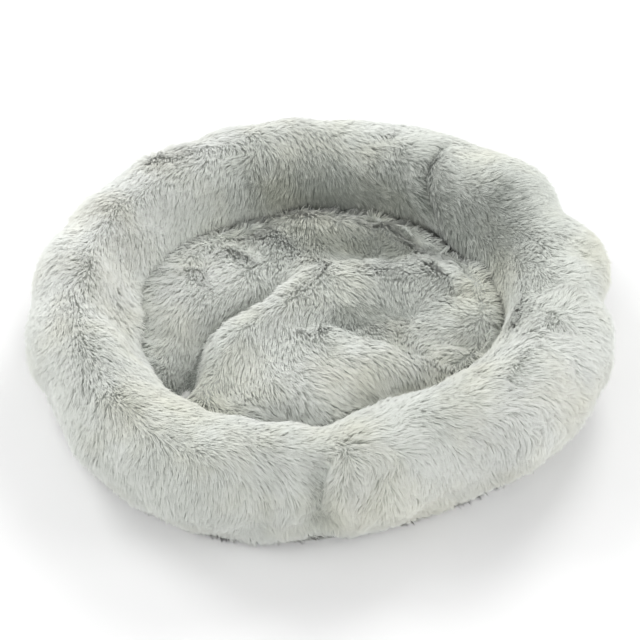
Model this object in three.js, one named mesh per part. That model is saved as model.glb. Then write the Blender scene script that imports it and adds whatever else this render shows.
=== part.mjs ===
// An oval pet bed: a fat plush bolster all round a sleeping well, a padded base, and a loose inner cushion.
// Millimetres, +Z up. X runs along the longer side and Y towards the back.
// The origin is on the floor under the middle of the bed's outline.
import * as THREE from "three";

const degrees = THREE.MathUtils.degToRad;

// Driving dimensions: the bolster's middle line in plan.
const HALF_LENGTH = 203; // of the oval middle line
const HALF_WIDTH = 180;
const SKEW = 5; // the oval leans a little, long axis to the back right
const EGG = 2.5; // three-lobed unevenness
const SQUARENESS = 2.4; // four-lobed unevenness

// The bolster's own section.
const RIM_HALF_WIDTH = 47;
const RIM_HEIGHT = 102;
const RIM_MIDDLE_Z = 50; // height of its widest point
const RIM_HEM = degrees(50); // how far it tucks under, below the widest point
const SEAM_PINCH = 5; // how far a seam draws the bolster in
const SEAM_PINCH_SPREAD = degrees(7);
const FRONT_SEAM_DEGREES = 270;
const BACK_SEAM_DEGREES = 54;

// Fabrics and thread.
const PILE = 8; // plush: backing cloth and the pile standing on it
const CLOTH = 1.6; // plain woven cloth
const THREAD = 1.2; // the seam's row of stitches, taken as one cord
const GAP = 0.5; // between pieces that touch
const SEAM_GAP = THREAD + 2 * GAP;
const SEAM_CLEARANCE = 0.7 * SEAM_GAP; // of each sleeve's end from its seam, at the bolster's middle line

// Base, under the well.
const BOTTOM_PANEL = 2.4;
const HEM_Z = BOTTOM_PANEL + SEAM_GAP;
const BASE_TOP = 14.4;
const BASE_PAD_INSET = 41; // from the bolster's middle line to the pad's edge
const BASE_SKIRT_INSET = 33; // from the middle line to the liner's lower edge

// Loose cushion.
const CUSHION_INSET = RIM_HALF_WIDTH + 1.5; // it just clears the bolster
const CUSHION_BOTTOM = BASE_TOP + GAP;
const CUSHION_BAND = 21; // height of the side strip
const CUSHION_BAND_THICKNESS = 2.6;
const CUSHION_CROWN = 62;
const CUSHION_BAND_Z = CUSHION_BOTTOM + CLOTH + SEAM_GAP;
const CUSHION_EDGE_Z = CUSHION_BAND_Z + CUSHION_BAND + SEAM_GAP;

const FACET_DEGREES = 6; // one facet of a turn round the bed; both seams fall on a facet's edge
const SECTION_STEPS = 12; // facets over the bolster
const CROWN_STEPS = 5; // facets from the cushion's middle to its edge

const FRONT_SEAM = degrees(FRONT_SEAM_DEGREES);
const BACK_SEAM = degrees(BACK_SEAM_DEGREES);
const ROUND = turnsBetween(BACK_SEAM_DEGREES, BACK_SEAM_DEGREES + 360).slice(0, -1);

const plush = (name) => material(name, 0xc6c9bf, 0.95);
const cloth = (name) => material(name, 0xb4b7b0, 0.9);
const fibre = (name) => material(name, 0xf1f1ec, 1.0);
const thread = (name) => material(name, 0xaeb2a9, 0.85);

function material(name, color, roughness) {
  return new THREE.MeshStandardMaterial({ name, color, roughness, metalness: 0 });
}

// The angles of the facets' edges between two angles in degrees, both included.
function turnsBetween(from, to) {
  const turns = [];
  for (let turn = from; turn <= to; turn += FACET_DEGREES) turns.push(degrees(turn));
  return turns;
}

// The point of the plan at angle turn, moved outwards by offset from the bolster's middle line.
function planPoint(turn, offset) {
  const c = Math.cos(turn);
  const s = Math.sin(turn);
  const along = Math.hypot(c * HALF_WIDTH, s * HALF_LENGTH);
  const wander =
    SKEW * Math.sin(2 * turn) + EGG * Math.cos(3 * turn) - SQUARENESS * Math.sin(4 * turn);
  const out = (offset + wander) / along;
  return new THREE.Vector2(
    HALF_LENGTH * c + HALF_WIDTH * c * out,
    HALF_WIDTH * s + HALF_LENGTH * s * out,
  );
}

// How much the two seams draw the bolster in at angle turn.
function pinch(turn) {
  const dip = (seam) => {
    const away = Math.atan2(Math.sin(turn - seam), Math.cos(turn - seam));
    return Math.exp(-((away / SEAM_PINCH_SPREAD) ** 2));
  };
  return SEAM_PINCH * (dip(FRONT_SEAM) + dip(BACK_SEAM));
}

// The bolster's section at angle turn, inset from its outer face: from the outer hem over the top
// to the inner hem.
function rimArch(turn, inset) {
  const drawnIn = inset + pinch(turn);
  const points = [];
  for (let i = 0; i <= SECTION_STEPS; i++) {
    const angle = -RIM_HEM + ((Math.PI + 2 * RIM_HEM) * i) / SECTION_STEPS;
    const rise =
      Math.sin(angle) > 0
        ? (RIM_HEIGHT - RIM_MIDDLE_Z - drawnIn) * Math.sin(angle)
        : ((RIM_MIDDLE_Z - HEM_Z) * Math.sin(angle)) / Math.sin(RIM_HEM);
    const across = (RIM_HALF_WIDTH - drawnIn) * Math.cos(angle);
    points.push(new THREE.Vector2(across, RIM_MIDDLE_Z + rise));
  }
  return points;
}

// A closed mesh from rows of points, each row a closed section; the rows close on themselves or are capped.
function skin(rows, closed) {
  const across = rows[0].length;
  const positions = rows.flat().flatMap((p) => [p.x, p.y, p.z]);
  const index = [];
  const bands = closed ? rows.length : rows.length - 1;
  for (let r = 0; r < bands; r++) {
    for (let k = 0; k < across; k++) {
      const a = r * across + k;
      const b = r * across + ((k + 1) % across);
      const c = ((r + 1) % rows.length) * across + k;
      const d = ((r + 1) % rows.length) * across + ((k + 1) % across);
      index.push(a, c, b, b, c, d);
    }
  }
  if (!closed) index.push(...endCaps(rows));
  const geometry = new THREE.BufferGeometry();
  geometry.setAttribute("position", new THREE.Float32BufferAttribute(positions, 3));
  geometry.setIndex(index);
  geometry.computeVertexNormals();
  return geometry;
}

// A section of the arch kind is two runs of equal length, out and back, so its cap is a strip between them.
function endCaps(rows) {
  const across = rows[0].length;
  const half = across / 2;
  const last = (rows.length - 1) * across;
  const index = [];
  for (let k = 0; k < half - 1; k++) {
    const [a, b, c, d] = [k, k + 1, across - 1 - k, across - 2 - k];
    index.push(a, b, c, b, d, c);
    index.push(last + a, last + c, last + b, last + b, last + c, last + d);
  }
  return index;
}

// Sweeps a section through the given angles round the bed. sectionAt(turn) gives points of (offset, height).
function sweep(sectionAt, turns, closed) {
  const rows = turns.map((turn) =>
    sectionAt(turn).map((p) => {
      const at = planPoint(turn, p.x);
      return new THREE.Vector3(at.x, at.y, p.y);
    }),
  );
  return skin(rows, closed);
}

const fullTurn = (sectionAt) => sweep(sectionAt, ROUND, true);

// A solid dish or dome. Its profile runs from the middle of the top to the edge and back under to the middle;
// share is how far towards the outline a point lies.
function dome(profile) {
  const positions = [];
  const index = [];
  const rings = profile.slice(1, -1);
  const round = ROUND.length;
  const ring = (r, i) => 1 + r * round + (i % round);
  positions.push(0, 0, profile[0].z);
  for (const { share, offset, z } of rings) {
    for (const turn of ROUND) {
      const p = planPoint(turn, offset).multiplyScalar(share);
      positions.push(p.x, p.y, z);
    }
  }
  const under = 1 + rings.length * round;
  positions.push(0, 0, profile[profile.length - 1].z);
  for (let i = 0; i < round; i++) {
    index.push(0, ring(0, i), ring(0, i + 1));
    for (let r = 0; r < rings.length - 1; r++) {
      const [a, b] = [ring(r, i), ring(r, i + 1)];
      const [c, d] = [ring(r + 1, i), ring(r + 1, i + 1)];
      index.push(a, c, b, b, c, d);
    }
    index.push(under, ring(rings.length - 1, i + 1), ring(rings.length - 1, i));
  }
  const geometry = new THREE.BufferGeometry();
  geometry.setAttribute("position", new THREE.Float32BufferAttribute(positions, 3));
  geometry.setIndex(index);
  geometry.computeVertexNormals();
  return geometry;
}

// A flat panel of cloth whose edge follows the bed's outline.
function panel(offset, z, thickness) {
  const shape = new THREE.Shape(ROUND.map((turn) => planPoint(turn, offset)));
  return new THREE.ExtrudeGeometry(shape, { depth: thickness, bevelEnabled: false }).translate(0, 0, z);
}

// A row of stitches that runs round the bed, as a square cord standing on its corner.
function stitchRing(offset, z) {
  const r = THREAD / 2;
  return fullTurn(() => [
    new THREE.Vector2(offset + r, z),
    new THREE.Vector2(offset, z + r),
    new THREE.Vector2(offset - r, z),
    new THREE.Vector2(offset, z - r),
  ]);
}

// A sleeve of the bolster's plush from one seam to the next. It stops short of each to leave room
// for the stitches.
function rimSleeve(fromDegrees, toDegrees) {
  const short = SEAM_CLEARANCE / HALF_WIDTH;
  const turns = turnsBetween(fromDegrees, toDegrees);
  turns[0] += short;
  turns[turns.length - 1] -= short;
  return sweep((turn) => [...rimArch(turn, 0), ...rimArch(turn, PILE).reverse()], turns, false);
}

const rimFilling = () => fullTurn((turn) => rimArch(turn, PILE + 2 * GAP));

// The stitches that join two sleeves, over the bolster from hem to hem.
function sleeveStitching(seam) {
  const r = THREAD / 2;
  const side = new THREE.Vector2().subVectors(planPoint(seam, 1), planPoint(seam, 0)).normalize();
  const rows = rimArch(seam, PILE / 2).map((p, i, all) => {
    const before = all[Math.max(i - 1, 0)];
    const after = all[Math.min(i + 1, all.length - 1)];
    const normal = new THREE.Vector2(after.y - before.y, before.x - after.x).normalize();
    const at = planPoint(seam, p.x);
    const square = [
      [r, 0],
      [0, -r],
      [-r, 0],
      [0, r],
    ];
    return square.map(([out, along]) => {
      const shift = out * normal.x;
      return new THREE.Vector3(
        at.x + side.x * shift - side.y * along,
        at.y + side.y * shift + side.x * along,
        p.y + out * normal.y,
      );
    });
  });
  return skin(rows, false);
}

// The liner over the base pad: a flat floor whose skirt turns down to the inner hem.
function floorLiner() {
  return dome([
    { z: BASE_TOP },
    { share: 1, offset: -BASE_PAD_INSET, z: BASE_TOP },
    { share: 1, offset: -BASE_SKIRT_INSET, z: HEM_Z },
    { share: 1, offset: -BASE_SKIRT_INSET - CLOTH, z: HEM_Z },
    { share: 1, offset: -BASE_PAD_INSET - CLOTH, z: BASE_TOP - CLOTH },
    { z: BASE_TOP - CLOTH },
  ]);
}

function basePad() {
  return dome([
    { z: BASE_TOP - CLOTH - GAP },
    { share: 1, offset: -BASE_PAD_INSET - CLOTH - GAP, z: BASE_TOP - CLOTH - GAP },
    { share: 1, offset: -BASE_SKIRT_INSET - CLOTH - 2 * GAP, z: HEM_Z },
    { share: 1, offset: -BASE_SKIRT_INSET - CLOTH - 2 * GAP, z: BOTTOM_PANEL + GAP },
    { z: BOTTOM_PANEL + GAP },
  ]);
}

// The crowned top of the cushion, inset below its outer face, from the middle to the edge.
function crown(inset) {
  const rise = CUSHION_CROWN - CUSHION_EDGE_Z - inset;
  const points = [{ z: CUSHION_EDGE_Z + rise }];
  for (let i = 1; i <= CROWN_STEPS; i++) {
    const share = Math.sin((Math.PI * i) / 2 / CROWN_STEPS);
    const z = CUSHION_EDGE_Z + rise * Math.sqrt(1 - share ** 4);
    points.push({ share, offset: -CUSHION_INSET - inset, z });
  }
  return points;
}

const cushionTop = () => dome([...crown(0), ...crown(PILE).reverse()]);

function cushionFilling() {
  const inset = CUSHION_INSET + CUSHION_BAND_THICKNESS + GAP;
  const foot = CUSHION_BOTTOM + CLOTH + GAP;
  return dome([
    ...crown(PILE + GAP),
    { share: 1, offset: -CUSHION_INSET - PILE - GAP, z: CUSHION_EDGE_Z - GAP },
    { share: 1, offset: -inset, z: CUSHION_BAND_Z + CUSHION_BAND / 2 },
    { share: 1, offset: -inset, z: foot },
    { z: foot },
  ]);
}

function cushionBand() {
  return fullTurn(() => [
    new THREE.Vector2(-CUSHION_INSET, CUSHION_BAND_Z),
    new THREE.Vector2(-CUSHION_INSET, CUSHION_BAND_Z + CUSHION_BAND),
    new THREE.Vector2(-CUSHION_INSET - CUSHION_BAND_THICKNESS, CUSHION_BAND_Z + CUSHION_BAND),
    new THREE.Vector2(-CUSHION_INSET - CUSHION_BAND_THICKNESS, CUSHION_BAND_Z),
  ]);
}

const hemOffset = RIM_HALF_WIDTH * Math.cos(RIM_HEM) - PILE / 4;
const hemStitchZ = BOTTOM_PANEL + SEAM_GAP / 2;
const bandMiddle = -CUSHION_INSET - CUSHION_BAND_THICKNESS / 2;

const pieces = [
  ["bottom_panel", panel(hemOffset, 0, BOTTOM_PANEL), cloth],
  ["base_filling", basePad(), fibre],
  ["floor_liner", floorLiner(), cloth],
  ["rim_filling", rimFilling(), fibre],
  ["rim_cover_right", rimSleeve(FRONT_SEAM_DEGREES - 360, BACK_SEAM_DEGREES), plush],
  ["rim_cover_left", rimSleeve(BACK_SEAM_DEGREES, FRONT_SEAM_DEGREES), plush],
  ["rim_front_seam_stitching", sleeveStitching(FRONT_SEAM), thread],
  ["rim_back_seam_stitching", sleeveStitching(BACK_SEAM), thread],
  ["outer_hem_stitching", stitchRing(hemOffset - THREAD, hemStitchZ), thread],
  ["inner_hem_stitching", stitchRing(-hemOffset, hemStitchZ), thread],
  ["cushion_underside", panel(-CUSHION_INSET, CUSHION_BOTTOM, CLOTH), cloth],
  ["cushion_side_band", cushionBand(), plush],
  ["cushion_top_panel", cushionTop(), plush],
  ["cushion_filling", cushionFilling(), fibre],
  ["cushion_lower_seam_stitching", stitchRing(bandMiddle, CUSHION_BAND_Z - SEAM_GAP / 2), thread],
  ["cushion_upper_seam_stitching", stitchRing(bandMiddle, CUSHION_EDGE_Z - SEAM_GAP / 2), thread],
];

const bed = new THREE.Group();
for (const [name, geometry, finish] of pieces) {
  const mesh = new THREE.Mesh(geometry, finish(name));
  mesh.name = name;
  bed.add(mesh);
}

// The uneven outline isn't centred on the oval it starts from, so the bed is moved over its origin.
const box = new THREE.Box3().setFromObject(bed);
bed.position.set(-(box.min.x + box.max.x) / 2, -(box.min.y + box.max.y) / 2, 0);

const part = new THREE.Group();
part.add(bed);
export default part;
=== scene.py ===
import math

import bpy
import numpy as np
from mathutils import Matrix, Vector, kdtree
from mathutils.bvhtree import BVHTree


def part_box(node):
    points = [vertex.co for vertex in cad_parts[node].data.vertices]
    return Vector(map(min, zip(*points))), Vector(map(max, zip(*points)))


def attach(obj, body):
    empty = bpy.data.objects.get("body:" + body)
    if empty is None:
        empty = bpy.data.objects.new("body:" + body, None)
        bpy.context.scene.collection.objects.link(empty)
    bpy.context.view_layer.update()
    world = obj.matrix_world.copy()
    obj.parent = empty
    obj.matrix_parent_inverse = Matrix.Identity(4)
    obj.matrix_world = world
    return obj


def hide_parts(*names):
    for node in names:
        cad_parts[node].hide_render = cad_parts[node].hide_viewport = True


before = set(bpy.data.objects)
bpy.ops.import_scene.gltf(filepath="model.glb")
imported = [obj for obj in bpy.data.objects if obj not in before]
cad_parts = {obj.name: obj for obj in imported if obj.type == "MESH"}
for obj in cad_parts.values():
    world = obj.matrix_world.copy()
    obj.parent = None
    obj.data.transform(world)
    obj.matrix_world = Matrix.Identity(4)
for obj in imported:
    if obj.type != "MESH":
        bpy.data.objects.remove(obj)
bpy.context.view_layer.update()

MM = 0.001
FULL_TURN = 2 * math.pi

# ------------ numbers on points


def unit(vectors):
    return vectors / np.maximum(np.linalg.norm(vectors, axis=-1, keepdims=True), 1e-12)


def wander(points, wavelength, seed, waves=14):
    """A smooth random field, mostly from -1 to 1, that changes over about one wavelength."""
    rng = np.random.default_rng(seed)
    rates = unit(rng.normal(size=(waves, 3))) * (FULL_TURN / (wavelength * rng.uniform(0.7, 1.5, (waves, 1))))
    phases = rng.uniform(0, FULL_TURN, waves)
    return np.sin(points @ rates.T + phases).sum(1) / math.sqrt(waves)


def lumpy(points, lumps):
    """The height of a stuffed skin's lumps, from (height, width, seed) rows in millimetres."""
    return sum(height * wander(points, width * MM, seed) for height, width, seed in lumps)


def swirl(points, wavelength, seed):
    """A smooth random vector at each point, no longer than 1."""
    vectors = np.stack([wander(points, wavelength, seed + 100 * k) for k in range(1, 4)], 1)
    return vectors / np.maximum(np.linalg.norm(vectors, axis=1, keepdims=True), 1)


def along_surface(vectors, normals):
    """The direction of each vector once it is laid flat on a surface."""
    return unit(vectors - normals * (vectors * normals).sum(1, keepdims=True))


def bump(distance, spread):
    """1 where distance is 0, falling smoothly to nothing over about twice spread."""
    return np.exp(-((distance / spread) ** 2))


def smooth_step(low, high, value):
    share = np.clip((value - low) / (high - low), 0, 1)
    return share * share * (3 - 2 * share)


def angle_between(a, b):
    return np.arctan2(np.sin(a - b), np.cos(a - b))


def near_turn(turn, at, spread):
    """A bump round a turn of the bed. at and spread are in degrees."""
    return bump(angle_between(turn, math.radians(at)), math.radians(spread))


def near_turns(turn, rows):
    """The sum of bumps round turns, from (turn, amount, spread) rows."""
    return sum(amount * near_turn(turn, at, spread) for at, amount, spread in rows)


def near_place(points, x, y, radius):
    """A bump round a place in plan, in millimetres."""
    return bump(np.hypot(points[:, 0] - x * MM, points[:, 1] - y * MM), radius * MM)


def near_spot(points, x, y, wide, deep):
    """The same with its own spread along x and along y."""
    return bump(np.hypot((points[:, 0] - x * MM) / (wide * MM), (points[:, 1] - y * MM) / (deep * MM)), 1)


def from_line(points, line):
    """For points in plan: the distance from a bent line, positive on its right, and the share along it."""
    line = np.array(line) * MM
    best = np.full(len(points), 1e9)
    signed = np.zeros(len(points))
    share = np.zeros(len(points))
    for k in range(len(line) - 1):
        run = line[k + 1] - line[k]
        t = np.clip((points - line[k]) @ run / (run @ run), 0, 1)
        gap = points - line[k] - t[:, None] * run
        far = np.linalg.norm(gap, axis=1)
        nearer = far < best
        right = run[1] * gap[:, 0] - run[0] * gap[:, 1]
        best = np.where(nearer, far, best)
        signed = np.where(nearer, np.sign(right) * far, signed)
        share = np.where(nearer, (k + t) / (len(line) - 1), share)
    return signed, share


# ------------ meshes


def mesh_object(name, points, faces, smooth=True):
    """A mesh object from an array of points and an array of triangles or quads."""
    mesh = bpy.data.meshes.new(name)
    sides = faces.shape[1]
    mesh.vertices.add(len(points))
    mesh.vertices.foreach_set("co", np.ascontiguousarray(points, np.float32).reshape(-1))
    mesh.loops.add(faces.size)
    mesh.loops.foreach_set("vertex_index", np.ascontiguousarray(faces, np.int32).reshape(-1))
    mesh.polygons.add(len(faces))
    mesh.polygons.foreach_set("loop_start", np.arange(0, faces.size, sides, dtype=np.int32))
    mesh.update(calc_edges=True)
    mesh.polygons.foreach_set("use_smooth", np.full(len(faces), smooth))
    made = bpy.data.objects.new(name, mesh)
    bpy.context.scene.collection.objects.link(made)
    return made


def points_of(piece):
    points = np.empty(len(piece.data.vertices) * 3, np.float32)
    piece.data.vertices.foreach_get("co", points)
    return points.reshape(-1, 3).astype(float)


def set_points(piece, points):
    piece.data.vertices.foreach_set("co", np.ascontiguousarray(points, np.float32).reshape(-1))
    piece.data.update()


def triangles_of(piece):
    piece.data.calc_loop_triangles()
    triangles = np.empty(len(piece.data.loop_triangles) * 3, np.int32)
    piece.data.loop_triangles.foreach_get("vertices", triangles)
    return triangles.reshape(-1, 3)


def normals_of(piece):
    """Smooth normals at the points of a piece's mesh."""
    points, triangles = points_of(piece), triangles_of(piece)
    a, b, c = (points[triangles[:, k]] for k in range(3))
    face = np.cross(b - a, c - a)
    total = np.zeros_like(points)
    for k in range(3):
        np.add.at(total, triangles[:, k], face)
    return unit(total)


def tree_of(piece):
    return BVHTree.FromPolygons([Vector(p) for p in points_of(piece)], triangles_of(piece).tolist())


def applied(piece):
    """Applies a piece's modifiers to its mesh."""
    graph = bpy.context.evaluated_depsgraph_get()
    mesh = bpy.data.meshes.new_from_object(piece.evaluated_get(graph), depsgraph=graph)
    piece.modifiers.clear()
    old = piece.data
    piece.data = mesh
    bpy.data.meshes.remove(old)
    mesh.polygons.foreach_set("use_smooth", np.full(len(mesh.polygons), True))
    return piece


def one_solid(name, nodes, voxel):
    """One closed mesh round copies of several CAD solids, with the gaps between them closed."""
    points, triangles, start = [], [], 0
    for node in nodes:
        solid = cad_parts[node]
        points.append(points_of(solid))
        triangles.append(triangles_of(solid) + start)
        start += len(points[-1])
    piece = mesh_object(name, np.concatenate(points), np.concatenate(triangles))
    remesh = piece.modifiers.new("remesh", "REMESH")
    remesh.mode = "VOXEL"
    remesh.voxel_size = voxel
    return applied(piece)


def smoothed(piece, times):
    smooth = piece.modifiers.new("smooth", "SMOOTH")
    smooth.factor = 0.5
    smooth.iterations = times
    return applied(piece)


def subdivided(piece):
    piece.modifiers.new("subdivide", "SUBSURF").levels = 1
    return applied(piece)


def puffed(piece, held, pressure, cap, frames=20):
    """Blows a closed skin up as cloth. held is 1 at points that stay, and cap is how far others may go."""
    rest = points_of(piece)
    group = piece.vertex_groups.new(name="held")
    for i in np.flatnonzero(held > 0.01):
        group.add([int(i)], float(held[i]), "REPLACE")
    cloth = piece.modifiers.new("cloth", "CLOTH")
    settings = cloth.settings
    settings.quality = 6
    settings.mass = 0.3
    settings.tension_stiffness = 14
    settings.compression_stiffness = 8
    settings.shear_stiffness = 5
    settings.bending_stiffness = 0.4
    settings.use_pressure = True
    settings.uniform_pressure_force = pressure
    settings.vertex_group_mass = "held"
    settings.effector_weights.gravity = 0
    cloth.collision_settings.use_collision = False
    cloth.collision_settings.use_self_collision = False
    cloth.point_cache.frame_start = 1
    cloth.point_cache.frame_end = frames
    scene = bpy.context.scene
    for f in range(1, frames + 1):
        scene.frame_set(f)
    applied(piece)
    moved = points_of(piece) - rest
    far = np.linalg.norm(moved, axis=1, keepdims=True)
    set_points(piece, rest + moved * np.minimum(1, cap / np.maximum(far, 1e-9)))
    scene.frame_set(1)
    piece.vertex_groups.clear()
    return piece


# ------------ sizes taken from the frame

RIM_NODES = ("rim_cover_left", "rim_cover_right")
CUSHION_CLEARANCE = 1.5 * MM  # between the cushion's side and the bolster
PILE_ROOT_DEPTH = 7 * MM  # from the plush's outer face to the root of its pile
VOXEL = 5 * MM  # of the skins' meshes
FRONT_SEAM = math.radians(270)
BACK_SEAM = math.radians(54)

rim_low = np.min([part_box(node)[0] for node in RIM_NODES], axis=0)
rim_high = np.max([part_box(node)[1] for node in RIM_NODES], axis=0)
band_low, band_high = (np.array(corner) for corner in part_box("cushion_side_band"))
OUTER_HALF = (rim_high - rim_low)[:2] / 2
INNER_HALF = (band_high - band_low)[:2] / 2 + CUSHION_CLEARANCE
MIDDLE_HALF = (OUTER_HALF + INNER_HALF) / 2  # half length and half width of the bolster's middle line
RIM_HALF_WIDTH = float((OUTER_HALF - INNER_HALF).mean() / 2)
RIM_TOP = float(rim_high[2])
RIM_MIDDLE_Z = RIM_TOP / 2
HEM_Z = float(rim_low[2])
CENTRE = (rim_low[:2] + rim_high[:2]) / 2
BAND_FOOT = float(band_low[2])
BAND_TOP = float(band_high[2])


def oval(points):
    """For each point: the turn round the bed, the way outwards, and the distance out from a true oval."""
    x, y = points[:, 0] - CENTRE[0], points[:, 1] - CENTRE[1]
    turn = np.arctan2(y / MIDDLE_HALF[1], x / MIDDLE_HALF[0])
    c, s = np.cos(turn), np.sin(turn)
    outward = unit(np.stack([c * MIDDLE_HALF[1], s * MIDDLE_HALF[0], 0 * c], 1))
    out = (x - MIDDLE_HALF[0] * c) * outward[:, 0] + (y - MIDDLE_HALF[1] * s) * outward[:, 1]
    return turn, outward, out


def outline_of(node):
    """A function from turn to how far out of the true oval the CAD node's outer edge lies."""
    turn, _, out = oval(points_of(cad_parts[node]))
    slots = np.round(turn / math.radians(6)).astype(int)
    outermost = [np.argmax(np.where(slots == slot, out, -1)) for slot in np.unique(slots)]
    turns, edges = turn[outermost], out[outermost]
    return lambda at: np.interp(at, turns, edges, period=FULL_TURN)


edge_out = outline_of("cushion_side_band")


def plan_point(turn, out):
    """Points in plan at the given turns, moved outwards from the true oval."""
    c, s = np.cos(turn), np.sin(turn)
    outward = unit(np.stack([c * MIDDLE_HALF[1], s * MIDDLE_HALF[0]], -1))
    on_oval = np.stack([c * MIDDLE_HALF[0], s * MIDDLE_HALF[1]], -1) + CENTRE
    return on_oval + outward * np.asarray(out)[..., None]


def ring_frame(points):
    """As oval, but the distance is from the bolster's own uneven middle line."""
    turn, outward, out = oval(points)
    return turn, outward, out - edge_out(turn) - CUSHION_CLEARANCE - RIM_HALF_WIDTH


def inset_from_edge(points):
    """How far inside the cushion's side a point lies in plan."""
    turn, _, out = oval(points)
    return edge_out(turn) - out


# ------------ materials


def shader_of(made, base, roughness, sheen=0.0):
    made.use_nodes = True
    made.diffuse_color = (*base, 1)
    shader = made.node_tree.nodes["Principled BSDF"]
    shader.inputs["Base Color"].default_value = (*base, 1)
    shader.inputs["Roughness"].default_value = roughness
    shader.inputs["Specular IOR Level"].default_value = 0.25
    shader.inputs["Sheen Weight"].default_value = sheen
    shader.inputs["Sheen Roughness"].default_value = 0.5
    return shader


def ramp(nodes, stops):
    """A colour ramp node from (place, colour) pairs."""
    made = nodes.new("ShaderNodeValToRGB")
    elements = made.color_ramp.elements
    elements[0].position, elements[0].color = stops[0][0], (*stops[0][1], 1)
    elements[1].position, elements[1].color = stops[-1][0], (*stops[-1][1], 1)
    for place, colour in stops[1:-1]:
        elements.new(place).color = (*colour, 1)
    return made


def noise_of(nodes, links, scale, detail=2.0):
    place = nodes.new("ShaderNodeTexCoord")
    noise = nodes.new("ShaderNodeTexNoise")
    noise.inputs["Scale"].default_value = scale
    noise.inputs["Detail"].default_value = detail
    links.new(place.outputs["Object"], noise.inputs["Vector"])
    return noise.outputs["Fac"]


def tinted(nodes, links, colour, amount, tint):
    """colour, multiplied by tint where amount is high."""
    mix = nodes.new("ShaderNodeMix")
    mix.data_type = "RGBA"
    mix.blend_type = "MULTIPLY"
    factor, first, second = (s for s in mix.inputs if s.enabled)
    second.default_value = (*tint, 1)
    links.new(amount, factor)
    links.new(colour, first)
    return next(s for s in mix.outputs if s.enabled)


def patches(nodes, links, scale, share):
    """Soft patches from 0 to share."""
    spread = nodes.new("ShaderNodeMapRange")
    spread.inputs["From Min"].default_value = 0.45
    spread.inputs["From Max"].default_value = 0.7
    spread.inputs["To Max"].default_value = share
    links.new(noise_of(nodes, links, scale, 3), spread.inputs["Value"])
    return spread.outputs["Result"]


# The darkest pile colour is painted shade: the darkened places of the pile's tone tables, the fold and the
# dents reach down to it, and a strand's root comes near it only where its own tone is very dark.
PILE_PAINTED_SHADE = (0.34, 0.365, 0.33)
PILE_ROOT = (0.66, 0.69, 0.64)
PILE_MIDDLE = (0.80, 0.835, 0.77)
PILE_TIP = (0.92, 0.945, 0.895)
WARM = (1.0, 0.975, 0.9)
WORN = (0.93, 0.93, 0.94)


def pile_material():
    """Darker at the root and pale at the tip, each lock a little different, with faint warm patches. The tone
    it reads also carries painted light and painted shade, down to the darkest colour, which is painted shade.
    """
    made = bpy.data.materials.new("plush_pile")
    shader = shader_of(made, PILE_MIDDLE, 0.75, sheen=0.35)
    nodes, links = made.node_tree.nodes, made.node_tree.links
    tone = nodes.new("ShaderNodeAttribute")
    tone.attribute_name = "tone"
    colours = ramp(nodes, [(0.0, PILE_PAINTED_SHADE), (0.22, PILE_ROOT), (0.5, PILE_MIDDLE), (1.0, PILE_TIP)])
    links.new(tone.outputs["Fac"], colours.inputs["Fac"])
    warm = tinted(nodes, links, colours.outputs["Color"], patches(nodes, links, 14, 0.8), WARM)
    links.new(warm, shader.inputs["Base Color"])
    return made


def embossed(nodes, links, shader, height, distance):
    lift = nodes.new("ShaderNodeBump")
    lift.inputs["Distance"].default_value = distance
    links.new(height, lift.inputs["Height"])
    links.new(lift.outputs["Normal"], shader.inputs["Normal"])


def knit_material(name, dark, light, scale, height):
    """A cloth whose colour and relief both follow a fine noise."""
    made = bpy.data.materials.new(name)
    shader = shader_of(made, light, 0.9)
    nodes, links = made.node_tree.nodes, made.node_tree.links
    grain = noise_of(nodes, links, scale)
    colours = ramp(nodes, [(0.35, dark), (0.65, light)])
    links.new(grain, colours.inputs["Fac"])
    links.new(colours.outputs["Color"], shader.inputs["Base Color"])
    embossed(nodes, links, shader, grain, height)
    return made


def woven_material(name, dark, light, pitch):
    """Plain woven cloth: two crossing sets of threads, in colour and relief."""
    made = bpy.data.materials.new(name)
    shader = shader_of(made, light, 0.85)
    nodes, links = made.node_tree.nodes, made.node_tree.links
    place = nodes.new("ShaderNodeTexCoord")
    threads = nodes.new("ShaderNodeMath")
    threads.operation = "MAXIMUM"
    for k, direction in enumerate(("X", "Y")):
        wave = nodes.new("ShaderNodeTexWave")
        wave.bands_direction = direction
        wave.inputs["Scale"].default_value = FULL_TURN / (20 * pitch)
        wave.inputs["Distortion"].default_value = 0.6
        links.new(place.outputs["Object"], wave.inputs["Vector"])
        links.new(wave.outputs["Fac"], threads.inputs[k])
    colours = ramp(nodes, [(0.3, dark), (0.9, light)])
    links.new(threads.outputs["Value"], colours.inputs["Fac"])
    worn = tinted(nodes, links, colours.outputs["Color"], patches(nodes, links, 20, 0.6), WORN)
    links.new(worn, shader.inputs["Base Color"])
    embossed(nodes, links, shader, threads.outputs["Value"], 0.15 * MM)
    return made


# ------------ pile

STRAND_RADIUS = 0.33 * MM
STRAND_LENGTH = 12.5 * MM  # more than the pile's height, because it leans
LEANS = (0.4, 1.32)  # the least and most that a strand leans from the upright, in radians
SOFTNESS = 0.85  # how far a strand is shaded as the pile round it and not as a single thread
MOST_STRANDS = 19000  # in one piece, to keep it under 200,000 faces
ROOT_SUNK = 0.6 * MM  # how far a strand starts inside its skin
BOW = 0.15  # how far a strand bows away from the skin, against its length
TAPER = 0.85  # thickness at the bend, against the root
LEAST_HEIGHT = 0.4 * MM  # of any strand over the floor
STRANDS_IN_A_LOCK = 11
LOCK_PULLS = (0.2, 0.65)  # how far a strand's tip is drawn to its lock's, at least and most
LOCK_WIDTH = 0.3  # of a lock at its tip, against its root
LOCK_STRAY = 0.6 * MM  # how far a whole lock strays from its way
TIP_STRAY = 0.35 * MM  # how far one strand's tip does
CORNERS = 7  # of a strand: root, bend and tip
ROOT_TONE, BEND_TONE, TIP_TONE = 0.32, 0.55, 0.85
ROOT_SHARE = 0.6  # how much of a strand's own lighter or darker tone its root shows
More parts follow.
